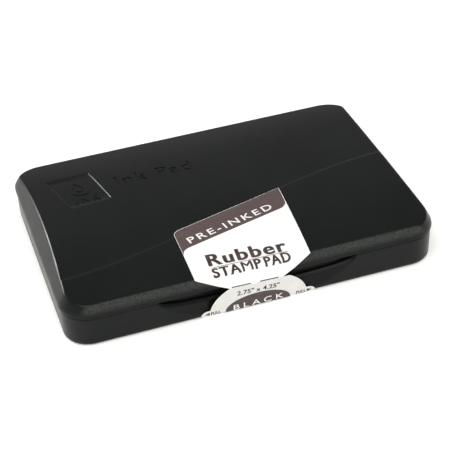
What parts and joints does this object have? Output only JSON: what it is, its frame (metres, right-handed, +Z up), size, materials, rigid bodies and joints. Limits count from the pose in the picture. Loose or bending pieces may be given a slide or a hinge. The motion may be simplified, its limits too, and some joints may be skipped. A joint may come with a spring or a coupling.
{
  "type": "ink pad",
  "caption": "Hinged black plastic case with an arched lid that opens at the back over a flat rectangular foam ink pad, with a paper seal label at the front finger scoop.",
  "frame": {"origin": "on the table, under the middle of the closed case", "axes": "+X along the long side to the right, +Y to the back where the hinges are, +Z up through the lid; the finger scoop and the label face -Y"},
  "size_m": [0.13, 0.0931, 0.0203],
  "materials": {
    "case_plastic": "moulded black plastic, satin with a fine spark-eroded grain on the bevels",
    "deck_plastic": "moulded black plastic, satin",
    "backing_board": "stiff grey board",
    "ink_felt": "felt soaked with black ink",
    "inked_foam": "fine open-cell foam, damp with black ink",
    "pin_steel": "drawn wire",
    "label_paper": "coated white label paper with dark mauve print"
  },
  "bodies": {
    "base": {"base_shell": "case_plastic", "pad_deck": "deck_plastic", "pad_backing": "backing_board", "ink_reservoir": "ink_felt", "foam_pad": "inked_foam", "pad_frame": "deck_plastic", "hinge_pin_left": "pin_steel", "hinge_pin_right": "pin_steel", "base_label": "label_paper"},
    "lid": {"lid_shell": "case_plastic", "lid_label": "label_paper"}
  },
  "joints": [
    {"name": "lid_hinge", "type": "hinge", "parent": "base", "child": "lid", "pos_m": [0, 0.0446, 0.009], "axis": [-1, 0, 0], "range_deg": [0, 115]}
  ]
}
